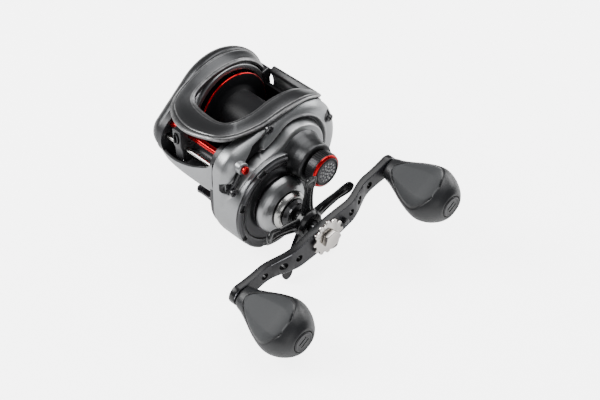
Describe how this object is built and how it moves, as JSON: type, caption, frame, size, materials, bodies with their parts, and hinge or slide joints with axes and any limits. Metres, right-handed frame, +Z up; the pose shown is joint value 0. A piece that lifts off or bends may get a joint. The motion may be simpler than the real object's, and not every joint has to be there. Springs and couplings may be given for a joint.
{
  "type": "baitcasting fishing reel",
  "caption": "Low-profile baitcasting fishing reel: spool in a frame under a hooded level wind, star drag, bent double crank with tapered grips, thumb-bar clutch and palm-side brake dial.",
  "frame": {"origin": "middle of the reel foot's underside, where it rests in the rod's reel seat", "axes": "+X out of the crank side along the spool's axis, -Y forward where the line leaves, +Z up away from the rod"},
  "size_m": [0.1152, 0.0998, 0.0575],
  "materials": {
    "gunmetal": "satin dark grey metallic paint",
    "silver": "satin silver-grey metallic paint",
    "black_metal": "black anodised",
    "black_plastic": "glossy black",
    "red_metal": "red anodised",
    "steel": "machined",
    "nickel": "bright nickel plate",
    "brass": "machined",
    "grip": "soft-touch dark grey",
    "carbon": "woven carbon and moulded nylon"
  },
  "bodies": {
    "frame": {"main_frame": "gunmetal", "reel_foot": "black_metal", "hood": "gunmetal", "handle_side_cover": "silver", "barrel_ring": "gunmetal", "bearing_dome": "silver", "drive_collar": "steel", "anti_reverse_bearing": "steel", "drive_shaft_bearing": "steel", "spool_bearing_handle": "steel", "pinion_bearing": "steel", "trim_link": "black_metal", "hood_screw": "black_metal", "link_screw_red": "red_metal", "link_screw_lower": "black_metal", "cover_screw_rear": "black_metal", "level_wind_bar": "red_metal", "guide_rod": "steel", "worm_housing": "black_plastic"},
    "crank": {"drive_shaft": "steel", "drive_gear": "brass", "worm_drive_gear": "carbon", "drag_washer_carbon": "carbon", "drag_washer_steel": "steel", "drag_sleeve": "steel", "drag_spring_washer": "steel", "crank_arm": "black_metal", "nut_retainer": "nickel", "crank_nut": "nickel", "retainer_screw": "black_metal", "knob_rear_post": "steel", "knob_front_post": "steel"},
    "star": {"star_drag": "black_metal"},
    "rear_knob": {"knob_rear": "grip", "knob_rear_cap": "black_plastic"},
    "front_knob": {"knob_front": "grip", "knob_front_cap": "black_plastic"},
    "spool": {"spool": "black_metal", "spool_shaft": "steel", "brake_rotor": "steel"},
    "yoke": {"clutch_yoke": "steel"},
    "pinion": {"pinion_gear": "brass"},
    "worm": {"worm_shaft": "steel", "worm_gear": "carbon"},
    "line_guide": {"line_guide": "black_plastic", "eyelet_insert": "steel", "guide_pawl": "brass", "pawl_cap": "steel"},
    "thumb_bar": {"thumb_bar": "gunmetal"},
    "tension_cap": {"tension_cap": "black_plastic"},
    "palm_side": {"palm_cover": "gunmetal", "spool_bearing_palm": "steel"},
    "brake": {"brake_dial": "gunmetal", "brake_magnet_ring": "steel"}
  },
  "joints": [
    {"name": "crank_turn", "type": "hinge", "parent": "frame", "child": "crank", "pos_m": [0.044, -0.0153, 0.0082], "axis": [1, 0, 0], "continuous": true},
    {"name": "star_turn", "type": "hinge", "parent": "crank", "child": "star", "pos_m": [0.044, -0.0153, 0.0082], "axis": [1, 0, 0], "range_deg": [-180, 180]},
    {"name": "knob_rear_spin", "type": "hinge", "parent": "crank", "child": "rear_knob", "pos_m": [0.069, 0.02367, 0.01627], "axis": [1, 0, 0], "continuous": true},
    {"name": "knob_front_spin", "type": "hinge", "parent": "crank", "child": "front_knob", "pos_m": [0.069, -0.05427, 0.00013], "axis": [1, 0, 0], "continuous": true},
    {"name": "spool_spin", "type": "hinge", "parent": "frame", "child": "spool", "pos_m": [0, 0, 0.0215], "axis": [1, 0, 0], "continuous": true},
    {"name": "yoke_shift", "type": "slide", "parent": "frame", "child": "yoke", "axis": [1, 0, 0], "range_m": [0, 0.0015]},
    {"name": "pinion_spin", "type": "hinge", "parent": "yoke", "child": "pinion", "pos_m": [0.0225, 0, 0.0215], "axis": [1, 0, 0], "continuous": true},
    {"name": "worm_turn", "type": "hinge", "parent": "frame", "child": "worm", "pos_m": [0, -0.0255, 0.0207], "axis": [1, 0, 0], "continuous": true},
    {"name": "guide_travel", "type": "slide", "parent": "frame", "child": "line_guide", "axis": [1, 0, 0], "range_m": [-0.004, 0.016]},
    {"name": "thumb_press", "type": "slide", "parent": "frame", "child": "thumb_bar", "axis": [0, 0, -1], "range_m": [0, 0.0035], "stiffness_N_per_m": 300},
    {"name": "tension_turn", "type": "hinge", "parent": "frame", "child": "tension_cap", "pos_m": [0.036, 0, 0.0215], "axis": [1, 0, 0], "range_deg": [-270, 270]},
    {"name": "palm_cover_off", "type": "slide", "parent": "frame", "child": "palm_side", "axis": [-1, 0, 0], "range_m": [0, 0.03]},
    {"name": "brake_turn", "type": "hinge", "parent": "palm_side", "child": "brake", "pos_m": [-0.028, 0, 0.0215], "axis": [1, 0, 0], "range_deg": [0, 270]}
  ],
  "couplings": [
    {"joint": "spool_spin", "follows": "crank_turn", "ratio": -6.4},
    {"joint": "pinion_spin", "follows": "crank_turn", "ratio": -6.4},
    {"joint": "worm_turn", "follows": "crank_turn", "ratio": -3},
    {"joint": "yoke_shift", "follows": "thumb_press", "ratio": 0.42}
  ]
}
